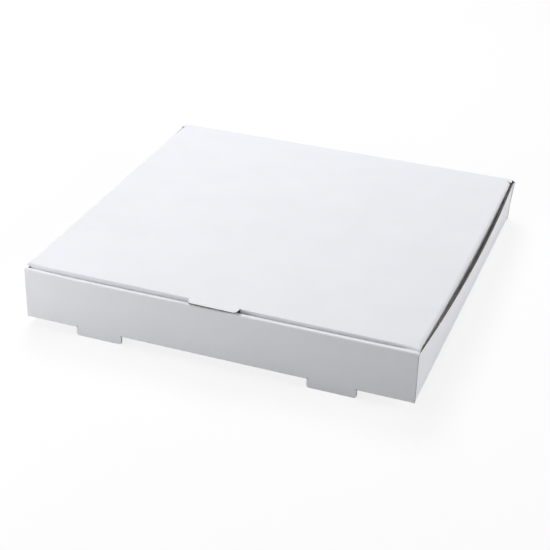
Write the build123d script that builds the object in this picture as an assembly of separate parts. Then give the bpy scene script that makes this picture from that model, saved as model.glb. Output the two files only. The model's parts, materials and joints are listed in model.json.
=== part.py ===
from build123d import *
from math import asin, degrees, hypot, pi
import os

# A white corrugated pizza box, die-cut from one sheet, folded and locked without glue.
# Built with the front face at y = 0, the underside of the bottom panel at z = 0 and x = 0 in the middle,
# then moved so that the origin is the bottom centre of the closed box, feet included.

# Whole box, over the outer faces
width = 340.0
depth = 340.0
front_height = 45.7
back_height = 41.6

# Board and its creases
board = 1.5
crease_inner = 0.3
slip = 0.1

# Feet, cut out of the bottom panel, and the lock tabs that fill their slots
foot_width = 41.6
foot_spacing = 204.8
foot_corner = 2.2
slot_behind_lock = 3.2
lock_side_gap = 1.0
lock_drop = 3.0

# Side walls. The right one bows outwards along its raw top edge and leans out a little at the back.
right_bow = 5.5
right_back_lean = 2.3
left_bow = 0.8
left_back_lean = 0.2

# Nicks left on the right wall's raw edge where the blank was torn out of its sheet, behind the front face
nick_places = (53.0, 142.0, 224.0, 291.0)
nick_width = 2.4
nick_height = 0.7

# Corner flaps
front_corner_flap = 70.0
back_corner_flap = 80.0
corner_flap_cut = 9.0
corner_flap_rounding = 3.0
corner_flap_under_lid = 0.7

# Lid
lid_over_roll = 3.8
lid_front_gap = 0.3
lid_side_gap = 0.3
lid_crease_inner = 1.5
lid_back_strip = 7.0
hinge_gap = 0.2

# Tuck flaps of the lid
flap_lean = 6.0
front_flap_drop = 33.0
front_flap_end_gap = 0.8
side_flap_drop = 30.0
side_flap_front_inset = 9.0
side_flap_back_inset = 6.0
flap_end_slant = 8.0
flap_corner = 7.0

# Pull tab, cut out of the front flap
tab_root_width = 43.8
tab_tip_width = 40.2
tab_corner = 3.0
tab_overhang = 2.4
tab_over_roll = 0.7

# Derived from the above
half_width = width / 2
crease_mid = crease_inner + board / 2
crease_outer = crease_inner + board
roll_depth = 3 * board + 2 * slip
roll_half = half_width - crease_outer - slip
slot_length = roll_depth + slot_behind_lock
foot_drop = slot_length - board / 2
layer_front = board + slip
layer_back = depth - board - slip
wall_front = layer_front + crease_outer
wall_back = layer_back - crease_outer
hinge_y = depth - board / 2
hinge_z = back_height - board / 2
back_panel_top = hinge_z - board / 2 - hinge_gap
side_front_top = front_height - layer_front
lid_front = roll_depth + lid_front_gap
lid_half = half_width - board - lid_side_gap
lid_under = back_height - board
lid_crease_mid = lid_crease_inner + board / 2
lid_crease_outer = lid_crease_inner + board
lid_slope = (front_height + lid_over_roll - back_height) / (hinge_y - lid_front)
lid_lift = degrees(asin(lid_slope))


def plate(x_range, y_range, z_range):
    """A flat piece of board, given by its extent along each axis."""
    size = [high - low for low, high in (x_range, y_range, z_range)]
    middle = [(high + low) / 2 for low, high in (x_range, y_range, z_range)]
    return Pos(*middle) * Box(*size)


def crease(u, v, start_angle):
    """End view of a quarter-round crease, centred on the inside of its bend."""
    return trace(CenterArc((u, v), crease_mid, start_angle, 90), board)


def along_width(section, half_length):
    """Runs a section drawn in y and z across the box, to both sides of the middle."""
    return extrude(Plane.YZ * section, half_length, both=True)


def along_depth(section, y_low, y_high):
    """Runs a section drawn in x and z from front to back."""
    back = Plane(origin=(0, y_high, 0), x_dir=(1, 0, 0), z_dir=(0, -1, 0))
    return extrude(back * section, y_high - y_low)


def rounded_outline(points, corner_points, radius):
    """A flat outline with some of its corners rounded."""
    outline = make_face(Polyline(*points, close=True))
    corners = [v for v in outline.vertices() if (round(v.X, 4), round(v.Y, 4)) in
               [(round(u, 4), round(w, 4)) for u, w in corner_points]]
    return fillet(corners, radius)


def rounded_tab(middle, top, bottom, root_width, tip_width, radius):
    """Outline of a tab that hangs from top to bottom, with both corners of its free end rounded."""
    root, tip = root_width / 2, tip_width / 2
    tips = [(middle + tip, bottom), (middle - tip, bottom)]
    points = [(middle - root, top), (middle + root, top)] + tips
    return rounded_outline(points, tips, radius)


def bottom_panel():
    """Bottom panel with the creases of all four walls, and a slot behind each foot."""
    inset = half_width - crease_outer
    panel = plate((-inset, inset), (crease_outer, depth - crease_outer), (0, board))
    panel += along_width(crease(crease_outer, crease_outer, 180), half_width)
    panel += along_width(crease(depth - crease_outer, crease_outer, 270), half_width)
    side = along_depth(crease(inset, crease_outer, 270), wall_front, wall_back)
    panel += side + mirror(side, Plane.YZ)
    for middle in (-foot_spacing / 2, foot_spacing / 2):
        slot = rounded_tab(middle, -board, slot_length, foot_width, foot_width, foot_corner)
        panel -= extrude(Pos(0, 0, -board) * slot, board + 2 * crease_outer)
    return panel


def front_wall():
    """Outer panel with its feet, rolled top strip, and inner panel with its lock tabs."""
    wall = plate((-half_width, half_width), (0, board), (crease_outer, front_height - crease_outer))
    roll_y = roll_depth - crease_outer
    roll_z = front_height - crease_outer
    wall += along_width(crease(crease_outer, roll_z, 90), half_width)
    wall += plate((-half_width, half_width), (crease_outer, roll_y), (front_height - board, front_height))
    wall += along_width(crease(roll_y, roll_z, 0), roll_half)
    inner_bottom = board + slip
    wall += plate((-roll_half, roll_half), (roll_depth - board, roll_depth), (inner_bottom, roll_z))
    for middle in (-foot_spacing / 2, foot_spacing / 2):
        foot = rounded_tab(middle, crease_outer, -foot_drop, foot_width, foot_width, foot_corner)
        wall += along_depth(foot, 0, board)
        lock_width = foot_width - 2 * lock_side_gap
        lock = rounded_tab(middle, inner_bottom, -lock_drop, lock_width, lock_width, foot_corner)
        wall += along_depth(lock, roll_depth - board, roll_depth)
    return wall


def side_wall(bow, back_lean):
    """A right side wall: straight at its crease, bowed at its raw top edge."""
    middle_y = (wall_front + wall_back) / 2
    straight, bowed = [], []
    for x in (half_width, half_width - board):
        straight.append(Line((x, wall_front, crease_outer), (x, wall_back, crease_outer)))
        front = (x, wall_front, front_height)
        middle = (x + back_lean / 2 + bow, middle_y, front_height)
        bowed.append(ThreePointArc(front, middle, (x + back_lean, wall_back, front_height)))
    strips = []
    for outer, inner in (straight, bowed):
        ends = [Line(outer @ i, inner @ i) for i in (0, 1)]
        strips.append(make_face([outer, ends[1], inner, ends[0]]))
    return loft(strips, ruled=True)


def corner_flaps(back_lean):
    """The two corner flaps of a right side wall, with the creases that turn into them."""
    crease_x = half_width - crease_outer
    front_end = half_width - front_corner_flap
    back_end = half_width - back_corner_flap
    rise = front_height - crease_outer

    low, high = board + slip, front_height - layer_front
    tips = [(front_end, high - corner_flap_cut), (front_end, low + corner_flap_cut)]
    outline = rounded_outline([(crease_x, low), (crease_x, high)] + tips, tips, corner_flap_rounding)
    flaps = extrude(Pos(0, 0, crease_outer) * crease(crease_x, wall_front, 270), rise)
    flaps += along_depth(outline, layer_front, layer_front + board)

    flap_middle = (crease_x + back_end) / 2
    end_view = crease(crease_x, wall_back, 0)
    end_view += Pos(flap_middle, layer_back - board / 2) * Rectangle(crease_x - back_end, board)
    leaning = extrude(Pos(0, 0, crease_outer) * end_view, hypot(rise, back_lean), dir=(back_lean, 0, rise))
    flap_top = back_panel_top - corner_flap_under_lid
    room = half_width + back_lean
    cut_end = back_end + corner_flap_cut
    outline = make_face(Polyline(
        (crease_x, -board), (room, -board), (room, front_height), (crease_x, front_height),
        (crease_x, flap_top), (cut_end, flap_top), (back_end, flap_top - corner_flap_cut),
        (back_end, crease_outer + corner_flap_cut), (cut_end, crease_outer - slip), close=True))
    return flaps + (leaning & along_depth(outline, wall_back - board, layer_back + board))


def above_side_walls(nicks):
    """The space above a side wall's sloping cut edge, which steps over each nick."""
    sky = 2 * front_height
    fall = (side_front_top - back_panel_top) / depth
    edge = [(0, side_front_top)]
    for place in nicks:
        for y, rise in ((-1, 0), (-1, 1), (1, 1), (1, 0)):
            at = place + y * nick_width / 2
            edge.append((at, side_front_top - fall * at + rise * nick_height))
    edge += [(depth, back_panel_top), (depth, sky), (0, sky)]
    return along_width(make_face(Polyline(*edge, close=True)), width)


def tray():
    """Everything of the sheet that stays put when the lid opens."""
    right = side_wall(right_bow, right_back_lean) + corner_flaps(right_back_lean)
    right -= above_side_walls(nick_places)
    left = side_wall(left_bow, left_back_lean) + corner_flaps(left_back_lean)
    left -= above_side_walls(())
    back_wall = plate((-half_width, half_width), (depth - board, depth), (crease_outer, back_panel_top))
    return bottom_panel() + front_wall() + back_wall + right + mirror(left, Plane.YZ)


def flap_bend(lean):
    """Middle line of a lid crease, seen from its end; u runs outwards, v upwards."""
    return CenterArc((0, -lid_crease_outer), lid_crease_mid, 90, -90 - lean)


def flap_section(drop, lean):
    """End view of a lid crease and the flap below it, folded past square."""
    bend = flap_bend(lean)
    return trace([bend, Line(bend @ 1, (bend @ 1) + (bend % 1) * (drop - lid_crease_outer))], board)


def flap_keep(low, high, inset_low, inset_high, drop):
    """Outline of a flap with slanted ends and rounded corners, below the full length of its crease."""
    edge = back_height - lid_crease_outer
    bottom = back_height - drop
    slant_low, slant_high = low + inset_low + flap_end_slant, high - inset_high - flap_end_slant
    above = back_height + board
    corners = [(slant_high, bottom), (slant_low, bottom)]
    points = [(low, above), (high, above), (high, edge), (high - inset_high, edge)]
    points += corners + [(low + inset_low, edge), (low, edge)]
    return rounded_outline(points, corners, flap_corner)


def front_flap(half_length):
    """Front tuck flap, with the notch that the pull tab was cut from."""
    crease_start = (0, lid_front + lid_crease_outer, back_height)
    place = Plane(origin=crease_start, x_dir=(0, -1, 0), z_dir=(-1, 0, 0))
    flap = extrude(place * flap_section(front_flap_drop, flap_lean), half_width, both=True)
    gap = front_flap_end_gap
    flap &= along_depth(flap_keep(-half_length, half_length, gap, gap, front_flap_drop), 0, depth)
    tab_length = lid_front + lid_crease_outer + tab_overhang
    bend_length = lid_crease_mid * pi / 2
    notch_bottom = back_height - lid_crease_outer - (tab_length - bend_length)
    above = back_height + board
    notch = rounded_tab(0, above, notch_bottom, tab_root_width, tab_tip_width, tab_corner)
    return flap - along_depth(notch, 0, depth)


def side_flap(half_length, low, high):
    """Right tuck flap and its crease, with the rounded corner where it meets the front crease."""
    back = Plane(origin=(half_length, high, back_height), x_dir=(1, 0, 0), z_dir=(0, -1, 0))
    flap = extrude(back * flap_section(side_flap_drop, flap_lean), high - low)
    keep = flap_keep(low, high, side_flap_front_inset, side_flap_back_inset, side_flap_drop)
    flap &= along_width(keep, width)
    front = Plane(origin=(half_length, low, back_height), x_dir=(1, 0, 0), z_dir=(0, -1, 0))
    pin = Axis((half_length, low, 0), (0, 0, 1))
    return flap + revolve(front * trace(flap_bend(0), board), pin, -90)


def pull_tab():
    """Pull tab: carries on from the lid and curls down until its tip nearly touches the rolled edge."""
    root_y = lid_front + lid_crease_outer
    reach = root_y + tab_overhang
    dip = lid_over_roll - board - tab_over_roll + reach * lid_slope
    middle_z = back_height - board / 2
    tip_z = middle_z - dip
    curl = TangentArc((root_y, middle_z), (-tab_overhang, tip_z), tangent=(-1, 0))
    tab = along_width(trace(curl, board), tab_root_width / 2)
    plan = rounded_tab(0, root_y, -tab_overhang, tab_root_width, tab_tip_width, tab_corner)
    return tab & extrude(plan, 2 * front_height)


def lid():
    """Lid panel with its hinge nose, tuck flaps and pull tab, resting at its closed angle."""
    low, high = lid_front + lid_crease_outer, hinge_y - lid_back_strip
    panel_half = lid_half - lid_crease_outer
    strip_half = half_width - crease_inner - board / 2
    panel = plate((-panel_half, panel_half), (low, high), (lid_under, back_height))
    panel += plate((-strip_half, strip_half), (high, hinge_y), (lid_under, back_height))
    panel += Pos(0, hinge_y, hinge_z) * Rot(0, 90, 0) * Cylinder(board / 2, 2 * strip_half)
    side = side_flap(panel_half, low, high)
    closed = panel + side + mirror(side, Plane.YZ) + front_flap(panel_half) + pull_tab()
    return closed.rotate(Axis((0, hinge_y, hinge_z), (1, 0, 0)), -lid_lift)


parts = {"tray": tray(), "lid": lid()}
closed_box = Compound(list(parts.values())).bounding_box()
to_origin = Pos(-closed_box.center().X, -closed_box.center().Y, -closed_box.min.Z)
os.makedirs("parts", exist_ok=True)
for name, part in parts.items():
    export_step(to_origin * part, f"parts/{name}.step")
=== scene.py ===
import bpy
import bmesh
import json
import math
from mathutils import Matrix, Vector


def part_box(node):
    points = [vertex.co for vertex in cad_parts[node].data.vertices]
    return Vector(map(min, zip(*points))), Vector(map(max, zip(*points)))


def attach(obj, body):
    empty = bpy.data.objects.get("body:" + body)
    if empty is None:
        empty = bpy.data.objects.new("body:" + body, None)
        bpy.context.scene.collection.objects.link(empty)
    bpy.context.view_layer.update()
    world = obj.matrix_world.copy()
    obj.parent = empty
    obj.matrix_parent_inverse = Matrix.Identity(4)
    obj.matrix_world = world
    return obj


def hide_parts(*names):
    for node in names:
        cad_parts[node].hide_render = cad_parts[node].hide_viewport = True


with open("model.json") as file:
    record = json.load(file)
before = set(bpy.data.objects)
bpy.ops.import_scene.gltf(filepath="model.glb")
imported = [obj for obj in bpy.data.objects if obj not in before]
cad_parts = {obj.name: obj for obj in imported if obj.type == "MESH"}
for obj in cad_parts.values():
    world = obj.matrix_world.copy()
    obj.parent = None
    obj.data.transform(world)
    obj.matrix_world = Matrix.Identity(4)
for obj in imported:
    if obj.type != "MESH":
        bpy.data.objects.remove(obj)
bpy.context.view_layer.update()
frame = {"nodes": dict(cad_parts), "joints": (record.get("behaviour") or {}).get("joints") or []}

# Camera
# A long lens looks down on the closed box from its front right.
mm = 0.001
box_width = 340 * mm
picture_side = 550
lens_pixels = 1415
picture_centre_x = 220
camera_azimuth = math.radians(21.96)
camera_height_angle = math.radians(29.66)
camera_roll = math.radians(0.35)
camera_from_corner = Vector((1.582, -2.634, 1.851)) * box_width

tray_low, tray_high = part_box("tray")
lid_low, lid_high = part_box("lid")
middle_x = (lid_low.x + lid_high.x) / 2
foot_drop = 7.15 * mm
front_left_corner = Vector((middle_x - box_width / 2, tray_low.y, foot_drop))

camera_data = bpy.data.cameras.new("camera")
camera_data.sensor_width = 36.0
camera_data.lens = lens_pixels * camera_data.sensor_width / picture_side
camera_data.shift_x = (picture_side / 2 - picture_centre_x) / picture_side
camera = bpy.data.objects.new("camera", camera_data)
bpy.context.scene.collection.objects.link(camera)
back = Vector((
    math.sin(camera_azimuth) * math.cos(camera_height_angle),
    -math.cos(camera_azimuth) * math.cos(camera_height_angle),
    math.sin(camera_height_angle)))
level_right = Vector((math.cos(camera_azimuth), math.sin(camera_azimuth), 0))
level_up = back.cross(level_right)
camera_right = level_right * math.cos(camera_roll) + level_up * math.sin(camera_roll)
camera_up = back.cross(camera_right)
camera_axes = Matrix((camera_right, camera_up, back)).transposed().to_4x4()
camera.matrix_world = Matrix.Translation(front_left_corner + camera_from_corner) @ camera_axes
bpy.context.scene.camera = camera
bpy.context.scene.view_settings.view_transform = "Standard"

# Tray
# The lower half of the box: bottom panel, four walls, feet and corner flaps. It is folded from one sheet of
# single-wall board, two liners on a fine corrugated sheet, and die-cut, so every cut edge shows the flutes.
board = 1.5 * mm
liner = 0.22 * mm
edge_depth = 1.0 * mm
flute_pitch = 3.2 * mm
merge_distance = 0.001 * mm
flat_angle = math.radians(0.5)
sharp_angle = math.radians(50)
smooth_angle = math.radians(40)
widest_cut = 2 * board
narrowest_liner = 10 * board
smallest_cut = 0.5 * mm * mm
front_flap_place = (board, 2.1 * board)
back_flap_place = (box_width - 2.3 * board, box_width - board)
outer_index, inner_index, cut_index = range(3)


def merged_copy(node):
    """A copy of a node's mesh with its loose triangles joined into whole flat faces."""
    mesh = bmesh.new()
    mesh.from_mesh(frame["nodes"][node].data)
    bmesh.ops.remove_doubles(mesh, verts=mesh.verts, dist=merge_distance)
    bmesh.ops.dissolve_limit(mesh, angle_limit=flat_angle, verts=mesh.verts, edges=mesh.edges)
    return mesh


def smooth_patches(mesh):
    """Groups of faces that run into each other without a sharp edge."""
    found, seen = [], set()
    for seed in mesh.faces:
        if seed in seen:
            continue
        patch, waiting = [], [seed]
        seen.add(seed)
        while waiting:
            face = waiting.pop()
            patch.append(face)
            for edge in face.edges:
                if edge.calc_face_angle(math.pi) > sharp_angle:
                    continue
                for near in edge.link_faces:
                    if near not in seen:
                        seen.add(near)
                        waiting.append(near)
        found.append(patch)
    return found


def mean_width(patch):
    """The width of a long narrow group of faces, from its area and its outline."""
    inside = set(patch)
    outline = sum(edge.calc_length() for face in patch for edge in face.edges
                  if not all(near in inside for near in edge.link_faces))
    return 2 * sum(face.calc_area() for face in patch) / outline


def outwardness(faces, centre):
    """Above zero where the faces look away from the middle of the box."""
    return sum(face.calc_area() * face.normal.dot(face.calc_center_median() - centre) for face in faces)


def across_flutes(point, normal):
    """How far a point was from the middle line of the flat sheet, across its flutes."""
    from_middle = point.x - middle_x
    behind_front = point.y - front_left_corner.y
    in_front_flap = front_flap_place[0] < behind_front < front_flap_place[1]
    in_back_flap = back_flap_place[0] < behind_front < back_flap_place[1]
    side_piece = abs(normal.x) > max(abs(normal.y), abs(normal.z))
    corner_flap = abs(normal.y) > max(abs(normal.x), abs(normal.z)) and (in_front_flap or in_back_flap)
    if side_piece or corner_flap:
        return math.copysign(box_width / 2 + point.z - foot_drop, from_middle)
    return from_middle


def edge_paths(mesh, cuts, outer):
    """The middle line of each cut edge, with the ways across and into the board at each point."""
    outer = set(outer)
    points, lines, across, into, flute = [], [], [], [], []
    for patch in cuts:
        inside, place = set(patch), {}
        border = [edge for face in patch for edge in face.edges
                  if edge.is_convex and any(near in outer for near in edge.link_faces)]
        for edge in border:
            for corner in edge.verts:
                if corner in place:
                    continue
                beside = [near for line in corner.link_edges if line in border for near in line.link_faces]
                skin = sum((near.normal for near in beside if near in outer), Vector()).normalized()
                cut = sum((near.normal for near in beside if near in inside), Vector()).normalized()
                place[corner] = len(points)
                points.append(corner.co - skin * board / 2)
                across.append(skin)
                into.append(-cut)
                flute.append(across_flutes(corner.co, skin))
            lines.append(tuple(place[corner] for corner in edge.verts))
    return points, lines, across, into, flute


def open_edges(mesh, cuts):
    """Sinks each cut edge between its two liners, and marks the edge, its liner-wide rim and its sunk sides
    as cut.
    """
    for patch in cuts:
        rim = bmesh.ops.inset_region(mesh, faces=patch, thickness=liner)["faces"]
        walls = bmesh.ops.inset_region(mesh, faces=patch, thickness=0, depth=-edge_depth)["faces"]
        for face in patch + rim + walls:
            face.material_index = cut_index


def cut_through(mesh, place, normal):
    """Cuts a mesh's faces along a plane, to let them bend there."""
    everything = mesh.verts[:] + mesh.edges[:] + mesh.faces[:]
    bmesh.ops.bisect_plane(mesh, geom=everything, plane_co=place, plane_no=normal, dist=merge_distance)


def board_piece(name, mesh, materials, bend):
    """Bends a board mesh to its photographed shape, shades it and makes it an object."""
    flute_layer = mesh.loops.layers.float.new("flute")
    for face in mesh.faces:
        face.smooth = True
        for loop in face.loops:
            loop[flute_layer] = across_flutes(loop.vert.co, face.normal)
    for corner in mesh.verts:
        corner.co += bend(corner.co)
    mesh.normal_update()
    for edge in mesh.edges:
        edge.smooth = edge.calc_face_angle(math.pi) < smooth_angle
    data = bpy.data.meshes.new(name)
    mesh.to_mesh(data)
    mesh.free()
    for material in materials:
        data.materials.append(material)
    piece = bpy.data.objects.new(name, data)
    bpy.context.scene.collection.objects.link(piece)
    even = piece.modifiers.new("flat faces stay flat", "WEIGHTED_NORMAL")
    even.keep_sharp = True
    return piece


def linear(code):
    """An sRGB hex colour as the linear one that the shader takes."""
    values = [int(code[i:i + 2], 16) / 255 for i in (1, 3, 5)]
    return [v / 12.92 if v <= 0.04045 else ((v + 0.055) / 1.055) ** 2.4 for v in values] + [1]


def add_node(tree, kind, settings=None, **links):
    """Adds a node to a tree, with its settings, its input values and the sockets that feed it."""
    node = tree.nodes.new(kind)
    for key, value in (settings or {}).items():
        setattr(node, key, value)
    for key, value in links.items():
        socket = node.inputs[int(key[1:])] if key[1:].isdigit() else node.inputs[key.replace("_", " ")]
        if isinstance(value, bpy.types.NodeSocket):
            tree.links.new(value, socket)
        else:
            socket.default_value = value
    return node


def shader(name, roughness, colour):
    """A new material with its surface shader; returns the material, its tree and that shader."""
    material = bpy.data.materials.new(name)
    material.use_nodes = True
    tree = material.node_tree
    surface = tree.nodes["Principled BSDF"]
    surface.inputs["Roughness"].default_value = roughness
    surface.inputs["Specular IOR Level"].default_value = 0.25
    surface.inputs["Base Color"].default_value = linear(colour)
    material.diffuse_color = linear(colour)
    return material, tree, surface


def liner_paper(name, colour, shade, roughness):
    """Paper liner: a smooth matt sheet through which the flutes show as very faint stripes."""
    material, tree, surface = shader(name, roughness, colour)
    place = add_node(tree, "ShaderNodeTexCoord").outputs["Object"]
    flute = add_node(tree, "ShaderNodeAttribute", {"attribute_name": "flute"}).outputs["Fac"]
    turns = add_node(tree, "ShaderNodeMath", {"operation": "MULTIPLY"},
                     _0=flute, _1=2 * math.pi / flute_pitch)
    stripe = add_node(tree, "ShaderNodeMath", {"operation": "SINE"}, _0=turns.outputs[0])
    cloud = add_node(tree, "ShaderNodeTexNoise", {}, Vector=place, Scale=22.0, Detail=3.0, Roughness=0.6)
    fibre = add_node(tree, "ShaderNodeTexNoise", {}, Vector=place, Scale=1400.0, Detail=2.0, Roughness=0.5)
    faint = add_node(tree, "ShaderNodeMath", {"operation": "MULTIPLY_ADD"},
                     _0=stripe.outputs[0], _1=0.05, _2=cloud.outputs["Fac"])
    speck = add_node(tree, "ShaderNodeMath", {"operation": "MULTIPLY_ADD"},
                     _0=fibre.outputs["Fac"], _1=0.25, _2=faint.outputs[0])
    tone = add_node(tree, "ShaderNodeMapRange", {}, Value=speck.outputs[0], From_Min=0.25, From_Max=1.0)
    mix = add_node(tree, "ShaderNodeMix", {"data_type": "RGBA"}, _0=tone.outputs[0],
                   _6=linear(shade), _7=linear(colour))
    tree.links.new(mix.outputs[2], surface.inputs["Base Color"])
    wave = add_node(tree, "ShaderNodeMath", {"operation": "MULTIPLY_ADD"},
                    _0=stripe.outputs[0], _1=0.4, _2=fibre.outputs["Fac"])
    bump = add_node(tree, "ShaderNodeBump", {}, Strength=0.12, Distance=0.05 * mm, Height=wave.outputs[0])
    tree.links.new(bump.outputs[0], surface.inputs["Normal"])
    return material


def raw_paper(name, colour, shade):
    """Raw recycled paper where the die cut through the board: greyish brown, dull and a little fuzzy."""
    material, tree, surface = shader(name, 0.9, colour)
    place = add_node(tree, "ShaderNodeTexCoord").outputs["Object"]
    fuzz = add_node(tree, "ShaderNodeTexNoise", {}, Vector=place, Scale=900.0, Detail=3.0)
    mix = add_node(tree, "ShaderNodeMix", {"data_type": "RGBA"}, _0=fuzz.outputs["Fac"],
                   _6=linear(shade), _7=linear(colour))
    tree.links.new(mix.outputs[2], surface.inputs["Base Color"])
    bump = add_node(tree, "ShaderNodeBump", {}, Strength=0.4, Distance=0.1 * mm, Height=fuzz.outputs["Fac"])
    tree.links.new(bump.outputs[0], surface.inputs["Normal"])
    return material


outer_paper = liner_paper("bleached_coated_liner", "#F3F4F9", "#EDEEF3", 0.6)
inner_paper = liner_paper("bleached_uncoated_liner", "#ECEBE8", "#E4E2DE", 0.75)
cut_paper = raw_paper("die_cut_board_edge", "#A39C95", "#8C857D")
medium_paper = raw_paper("recycled_fluting_paper", "#988F86", "#80776E")
papers = [outer_paper, inner_paper, cut_paper]

tray_mesh = merged_copy("tray")
tray_centre = (tray_low + tray_high) / 2
tray_patches = smooth_patches(tray_mesh)
tray_cuts = [patch for patch in tray_patches if mean_width(patch) < widest_cut]
tray_liners = [patch for patch in tray_patches if mean_width(patch) > narrowest_liner]
tray_outer = max(tray_liners, key=lambda patch: outwardness(patch, tray_centre))
for patch in tray_patches:
    index = inner_index if patch in tray_liners else cut_index
    if patch is tray_outer:
        index = outer_index
    for face in patch:
        face.material_index = index
tray_cuts = [patch for patch in tray_cuts if sum(face.calc_area() for face in patch) > smallest_cut]
tray_edges = edge_paths(tray_mesh, tray_cuts, tray_outer)
open_edges(tray_mesh, tray_cuts)

bends_from_middle = [distance * mm for distance in (-160, -145, -125, 160, 167.5)]
bends_from_front = [distance * mm for distance in (8, 15)]
for distance in bends_from_middle:
    cut_through(tray_mesh, Vector((middle_x + distance, 0, 0)), Vector((1, 0, 0)))
for distance in bends_from_front:
    cut_through(tray_mesh, Vector((0, front_left_corner.y + distance, 0)), Vector((0, 1, 0)))

hinge_place = Vector(frame["joints"][0]["pos_m"])
hinge_gap = 0.2 * mm
back_corner_lean = 1.9 * mm
back_corner_reach = 10 * mm
front_corner_rise = 1.1 * mm
front_corner_reach_right = 45 * mm
front_corner_reach_back = 15 * mm
roll_end_dip = 0.9 * mm
roll_end_reach = 2.5 * mm
roll_crease_y = front_left_corner.y + 2.9 * mm
roll_crease_z = tray_high.z - 1.8 * mm
roll_sharper = 1.3 * mm
roll_depth = 3.5 * board
crease_margin = 0.1 * mm


def smooth(value):
    """Eases from 0 to 1 as the value does."""
    value = min(1, max(0, value))
    return value * value * (3 - 2 * value)


def tray_shape(point):
    """Small departures of the real tray: its closed hinge crease, its leaning back right corner, its raised
    front left corner, and the rolled edge's sharp rear crease and crushed right end."""
    in_back_wall = point.y > hinge_place.y - board
    at_hinge_height = abs(point.z - (hinge_place.z - board / 2)) < 2 * hinge_gap
    up = hinge_gap if in_back_wall and at_hinge_height else 0
    to_end = point.x - middle_x - box_width / 2
    height = (point.z - foot_drop) / (hinge_place.z - foot_drop)
    side = back_corner_lean * smooth(1 + to_end / back_corner_reach) * height if in_back_wall else 0
    near_left = min(1, max(0, 1 - (to_end + box_width) / front_corner_reach_right))
    near_front = min(1, max(0, 1 - (point.y - front_left_corner.y) / front_corner_reach_back))
    up += front_corner_rise * near_left * near_front * height
    in_roll = point.z > roll_crease_z - crease_margin and point.y < front_left_corner.y + roll_depth
    rearward = 0
    if in_roll:
        up -= roll_end_dip * smooth(1 + to_end / roll_end_reach)
        past_crease = point.y - roll_crease_y
        sharp = roll_sharper * (1 + to_end / box_width)
        if past_crease > -crease_margin:
            turn = min(math.pi / 2, max(0, math.atan2(past_crease, max(0, point.z - roll_crease_z))))
            rearward = sharp * (1 - math.sin(turn))
            up += sharp * (1 - math.cos(turn))
    return Vector((side, rearward, up))


tray_board = board_piece("tray_board", tray_mesh, papers, tray_shape)
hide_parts("tray")
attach(tray_board, "tray")

# Lid
# The upper half of the same sheet, on its crease at the top of the back wall: a panel, three tuck flaps and
# the pull tab cut out of the front one. Its right edge bows outwards, its left edge laps over the wall, and
# its front edge droops towards the right.
lid_mesh = merged_copy("lid")
lid_centre = (lid_low + lid_high) / 2
lid_patches = smooth_patches(lid_mesh)
lid_cuts = [patch for patch in lid_patches if mean_width(patch) < widest_cut]
lid_faces = [face for patch in lid_patches if patch not in lid_cuts for face in patch]
lid_outer = [face for face in lid_faces if outwardness([face], lid_centre) > 0]
for face in lid_mesh.faces:
    face.material_index = cut_index
for face in lid_faces:
    face.material_index = outer_index if face in lid_outer else inner_index
lid_cuts = [patch for patch in lid_cuts if sum(face.calc_area() for face in patch) > smallest_cut]
lid_edges = edge_paths(lid_mesh, lid_cuts, lid_outer)
open_edges(lid_mesh, lid_cuts)

rightwards, forwards, downwards = range(3)
grid_step = 20 * mm
half_grid = 8
corner_grid_step = 3 * mm
corner_grid_steps = 8
crease_bend_depths = [depth * mm for depth in (0.8, 1.6, 2.4, 3.2, 4.2)]
corner_reach = 24 * mm
lid_reach = 334.25 * mm
lid_rise = 7.9 * mm
lid_lift = Matrix.Rotation(math.asin(lid_rise / lid_reach), 3, "X")
lid_half = 168.2 * mm
crease_radius = 3.0 * mm


def flat_lid(point):
    """A point of the lid as it lies with its panel level: to the right, forwards and below its top."""
    level = lid_lift @ (point - hinge_place)
    return Vector((point.x - middle_x, -level.y, board / 2 - level.z))


def cut_lid(direction, distance):
    """Cuts the lid's faces at a distance to the right, forwards or below its top."""
    normal = Vector((0, 0, 0))
    normal[direction] = 1
    spot = Vector((distance if direction == rightwards else 0, -distance if direction == forwards else 0,
                   board / 2 - distance if direction == downwards else 0))
    back_turn = lid_lift.inverted()
    place = back_turn @ spot + Vector((middle_x, hinge_place.y, hinge_place.z))
    cut_through(lid_mesh, place, back_turn @ normal)


for step in range(-half_grid, half_grid + 1):
    cut_lid(rightwards, step * grid_step)
    cut_lid(forwards, (step + half_grid + 0.5) * grid_step)
for step in range(corner_grid_steps):
    cut_lid(rightwards, lid_half - step * corner_grid_step)
    cut_lid(rightwards, -lid_half + step * corner_grid_step)
    cut_lid(forwards, lid_reach - step * corner_grid_step)
for depth in crease_bend_depths:
    cut_lid(downwards, depth)

right_bow = 1.9 * mm
right_shift = 0.8 * mm
hinge_right_shift = 1.0 * mm
left_shift = 1.9 * mm
left_wall_at_hinge = 1.7 * mm
left_wall_fall = 3.7 * mm
lip_height = 0.9 * mm
outer_sharper = 2.1 * mm
inner_sharper = 1.2 * mm
front_droop = 1.4 * mm
droop_start = -0.654
corner_pull = 0.8 * mm
corner_pull_reach = 6 * mm
corner_dip = 1.5 * mm
corner_lift = 1.0 * mm
tab_half = 21.9 * mm
tab_widening = 1.3 * mm
tab_widening_radii = 2
tab_press = 1.6 * mm
tab_press_reach = 16 * mm
tab_press_start_radii = 0.7
tab_press_end_steps = 1.2


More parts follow.
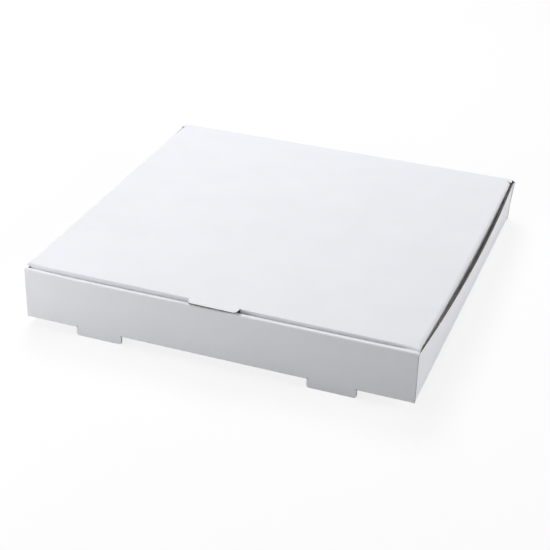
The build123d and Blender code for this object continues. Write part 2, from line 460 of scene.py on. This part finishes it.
def lid_shape(point):
    """How far the real lid is from a flat one with even creases, at one point of the flat one."""
    right, forward, below = flat_lid(point)
    to_right, to_front = right / lid_half, forward / lid_reach
    at_hinge = smooth(1 - forward / grid_step)

    # The right edge bows, and the left one laps over the wall.
    side = right_bow * (1 - (2 * to_front - 1) ** 2) + right_shift + hinge_right_shift * at_hinge
    side *= max(0, to_right) ** 3
    over_wall = left_wall_at_hinge + left_wall_fall * to_front
    lip = smooth((over_wall - below) / lip_height) * (1 - at_hinge / 2)
    side -= left_shift * max(0, -to_right) ** 3 * lip

    # The front corners are drawn out.
    off_corner = math.hypot(abs(right) - lid_half, forward - lid_reach)
    near_corner = smooth(1 - off_corner / corner_pull_reach)
    at_corner = smooth(1 - off_corner / corner_reach)
    ahead = corner_pull * near_corner
    side += math.copysign(corner_pull, right) * near_corner

    # The front crease is folded sharper than its round form.
    past_centre = forward - lid_reach + crease_radius
    turn = math.atan2(past_centre, crease_radius - below) if past_centre > 0 else 0
    turn = min(math.pi / 2, max(0, turn))
    from_centre = math.hypot(max(0, past_centre), max(0, crease_radius - below))
    outer_part = min(1, max(0, 1 - (crease_radius - from_centre) / board))
    sharper = inner_sharper + (outer_sharper - inner_sharper) * outer_part
    inner_part = smooth((lid_half - abs(right)) / corner_reach)
    panel_part = smooth(1 + past_centre / (2 * corner_reach))
    flap_part = smooth(1 - (below - crease_radius) / (2 * corner_reach))
    ahead += sharper * (1 - math.sin(turn)) * inner_part * panel_part
    up = sharper * (1 - math.cos(turn)) * inner_part * flap_part

    # The pull tab is wider at its right, and the flap beside it is pressed in.
    at_tab_side = max(0, 1 - max(0, right - tab_half) / tab_press_reach) * max(0, min(1, right / tab_half))
    side += (tab_widening * at_tab_side * smooth(past_centre / crease_radius)
             * smooth(tab_widening_radii - below / crease_radius))
    ahead -= (tab_press * at_tab_side * smooth(below / crease_radius - tab_press_start_radii)
              * smooth(tab_press_end_steps - below / grid_step))

    # The right front corner dips, the left one lifts, and the front droops towards the right.
    up += (-corner_dip if right > 0 else corner_lift) * at_corner ** 2
    up -= front_droop * max(0, to_right - droop_start) / (1 - droop_start) * to_front
    return lid_lift.inverted() @ Vector((side, -ahead, up))


lid_board = board_piece("lid_board", lid_mesh, papers, lid_shape)
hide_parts("lid")
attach(lid_board, "lid")

# Fluting
# The corrugated middle sheet that shows between the liners along every cut edge: a wave of greyish brown
# recycled paper, glued to both liners at its crests. Where the cut runs along the flutes it shows as a
# single line.
paper = 0.18 * mm
wave_height = board - 2 * liner - paper
recess = 0.12 * mm
sample_step = 0.32 * mm

tree = bpy.data.node_groups.new("corrugated_medium", "GeometryNodeTree")
tree.interface.new_socket("Geometry", in_out="INPUT", socket_type="NodeSocketGeometry")
sizes = {"Flute Pitch": flute_pitch, "Wave Height": wave_height, "Paper": paper,
         "Depth": edge_depth - recess, "Recess": recess, "Sample Step": sample_step}
for size in sizes:
    tree.interface.new_socket(size, in_out="INPUT", socket_type="NodeSocketFloat")
tree.interface.new_socket("Geometry", in_out="OUTPUT", socket_type="NodeSocketGeometry")
given = add_node(tree, "NodeGroupInput").outputs
edge_curve = add_node(tree, "GeometryNodeMeshToCurve", Mesh=given["Geometry"])
sampled = add_node(tree, "GeometryNodeResampleCurve", {"mode": "LENGTH"},
                   Curve=edge_curve.outputs[0], Length=given["Sample Step"])
across = add_node(tree, "GeometryNodeInputNamedAttribute", {"data_type": "FLOAT_VECTOR"}, Name="across")
into = add_node(tree, "GeometryNodeInputNamedAttribute", {"data_type": "FLOAT_VECTOR"}, Name="into")
flute = add_node(tree, "GeometryNodeInputNamedAttribute", {"data_type": "FLOAT"}, Name="flute")
waves = add_node(tree, "ShaderNodeMath", {"operation": "DIVIDE"},
                 _0=flute.outputs[0], _1=given["Flute Pitch"])
turn = add_node(tree, "ShaderNodeMath", {"operation": "MULTIPLY"}, _0=waves.outputs[0], _1=2 * math.pi)
swing = add_node(tree, "ShaderNodeMath", {"operation": "SINE"}, _0=turn.outputs[0])
half_wave = add_node(tree, "ShaderNodeMath", {"operation": "MULTIPLY"}, _0=given["Wave Height"], _1=0.5)
sway = add_node(tree, "ShaderNodeMath", {"operation": "MULTIPLY"},
                _0=swing.outputs[0], _1=half_wave.outputs[0])
sideways = add_node(tree, "ShaderNodeVectorMath", {"operation": "SCALE"},
                    _0=across.outputs[0], Scale=sway.outputs[0])
sunk = add_node(tree, "ShaderNodeVectorMath", {"operation": "SCALE"},
                _0=into.outputs[0], Scale=given["Recess"])
moved = add_node(tree, "ShaderNodeVectorMath", {"operation": "ADD"},
                 _0=sideways.outputs[0], _1=sunk.outputs[0])
waved = add_node(tree, "GeometryNodeSetPosition", Geometry=sampled.outputs[0], Offset=moved.outputs[0])
line = add_node(tree, "GeometryNodeCurveToMesh", Curve=waved.outputs[0])
ribbon = add_node(tree, "GeometryNodeExtrudeMesh", {"mode": "EDGES"}, Mesh=line.outputs[0],
                  Offset=into.outputs[0], Offset_Scale=given["Depth"])
half_paper = add_node(tree, "ShaderNodeMath", {"operation": "MULTIPLY"}, _0=given["Paper"], _1=0.5)
turned = add_node(tree, "GeometryNodeFlipFaces", Mesh=ribbon.outputs[0])
joined = add_node(tree, "GeometryNodeJoinGeometry")
for half in (ribbon, turned):
    thick = add_node(tree, "GeometryNodeExtrudeMesh", {"mode": "FACES"}, Mesh=half.outputs[0],
                     Offset_Scale=half_paper.outputs[0], Individual=False)
    tree.links.new(thick.outputs[0], joined.inputs[0])
closed = add_node(tree, "GeometryNodeMergeByDistance", Geometry=joined.outputs[0], Distance=merge_distance)
real = add_node(tree, "GeometryNodeRealizeInstances", Geometry=closed.outputs[0])
finish = add_node(tree, "GeometryNodeSetMaterial", Geometry=real.outputs[0], Material=medium_paper)
result = add_node(tree, "NodeGroupOutput")
tree.links.new(finish.outputs[0], result.inputs[0])


def fluting_piece(name, edges, body, bend):
    """Runs the corrugated sheet along a board's cut edges and makes it one plain mesh."""
    points, lines, across_ways, into_ways, flutes = edges
    data = bpy.data.meshes.new(name + "_lines")
    data.from_pydata(points, lines, [])
    for key, kind, values in (("across", "FLOAT_VECTOR", across_ways), ("into", "FLOAT_VECTOR", into_ways)):
        data.attributes.new(key, kind, "POINT").data.foreach_set("vector", [v for way in values for v in way])
    data.attributes.new("flute", "FLOAT", "POINT").data.foreach_set("value", flutes)
    lines_object = bpy.data.objects.new(name + "_lines", data)
    bpy.context.scene.collection.objects.link(lines_object)
    modifier = lines_object.modifiers.new("corrugated medium", "NODES")
    modifier.node_group = tree
    for item in tree.interface.items_tree:
        if item.in_out == "INPUT" and item.name in sizes:
            modifier[item.identifier] = sizes[item.name]
    evaluated = lines_object.evaluated_get(bpy.context.evaluated_depsgraph_get())
    mesh = bpy.data.meshes.new_from_object(evaluated)
    bpy.data.objects.remove(lines_object)
    mesh.name = name
    for corner in mesh.vertices:
        corner.co += bend(corner.co)
    piece = bpy.data.objects.new(name, mesh)
    bpy.context.scene.collection.objects.link(piece)
    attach(piece, body)


fluting_piece("tray_fluting", tray_edges, "tray", tray_shape)
fluting_piece("lid_fluting", lid_edges, "lid", lid_shape)

# Table
# A plain white sweep. The box stands on its feet and on its back bottom edge, tipped back by about one
# degree, so the table's plane runs through both. Its paint is a pale grey where it throws light on the box,
# and is washed to white, with a faint shadow left, where the camera looks at it.
table_half = 3.0
tip = math.atan2(foot_drop, hinge_place.y + board / 2 - front_left_corner.y)
slope = math.tan(tip)
table_mesh = bpy.data.meshes.new("table")
outline = ((-table_half, -table_half), (table_half, -table_half),
           (table_half, table_half), (-table_half, table_half))
corners = [(x, y, slope * (y - front_left_corner.y)) for x, y in outline]
table_mesh.from_pydata(corners, [], [(0, 1, 2, 3)])
table = bpy.data.objects.new("table", table_mesh)
bpy.context.scene.collection.objects.link(table)


def looked_at(tree):
    """A socket that is 1 for what the camera sees, also mirrored or through glass, and 0 for other light."""
    rays = add_node(tree, "ShaderNodeLightPath").outputs
    mirrored = add_node(tree, "ShaderNodeMath", {"operation": "MAXIMUM"},
                        _0=rays["Is Camera Ray"], _1=rays["Is Glossy Ray"])
    clear = add_node(tree, "ShaderNodeMath", {"operation": "MAXIMUM"},
                     _0=mirrored.outputs[0], _1=rays["Is Transmission Ray"])
    return clear.outputs[0]


material = bpy.data.materials.new("white_sweep")
material.use_nodes = True
sweep = material.node_tree
sweep.nodes.clear()
paint = add_node(sweep, "ShaderNodeBsdfDiffuse", {}, Color=linear("#DCDCDC"))
glow = add_node(sweep, "ShaderNodeEmission", {}, Color=(1, 1, 1, 1), Strength=1.1)
faded = add_node(sweep, "ShaderNodeMixShader", {}, _0=0.75, _1=paint.outputs[0], _2=glow.outputs[0])
shown = add_node(sweep, "ShaderNodeMixShader", {},
                 _0=looked_at(sweep), _1=paint.outputs[0], _2=faded.outputs[0])
add_node(sweep, "ShaderNodeOutputMaterial", {}, Surface=shown.outputs[0])
table_mesh.materials.append(material)

# Light
# Five square soft lamps around the box, the strongest far on the right and high behind on the left. The
# surroundings give no light of their own and are white where the camera looks at them.
lamps = [
    ("high_behind", (-0.5, 0.8, 1.3), 0.8, 15.3),
    ("high_left", (-0.5, -0.1, 1.5), 0.8, 5.8),
    ("near_front_left", (-0.5, -0.5, 0.2), 0.3, 1.1),
    ("front", (-0.2, -1.3, 0.5), 0.8, 3.2),
    ("right_side", (2.0, 0.1, 0.8), 1.0, 21.5),
]
for name, place, side, power in lamps:
    lamp_data = bpy.data.lights.new(name, "AREA")
    lamp_data.shape = "SQUARE"
    lamp_data.size = side
    lamp_data.energy = power
    lamp = bpy.data.objects.new(name, lamp_data)
    bpy.context.scene.collection.objects.link(lamp)
    lamp.location = place
    lamp.rotation_euler = (-Vector(place)).to_track_quat("-Z", "Y").to_euler()

world = bpy.data.worlds.new("studio")
bpy.context.scene.world = world
world.use_nodes = True
studio = world.node_tree
studio.nodes.clear()
plain = add_node(studio, "ShaderNodeBackground", {}, Color=(1, 1, 1, 1), Strength=0.0)
white = add_node(studio, "ShaderNodeBackground", {}, Color=(1, 1, 1, 1), Strength=1.0)
air = add_node(studio, "ShaderNodeMixShader", {},
               _0=looked_at(studio), _1=plain.outputs[0], _2=white.outputs[0])
add_node(studio, "ShaderNodeOutputWorld", {}, Surface=air.outputs[0])
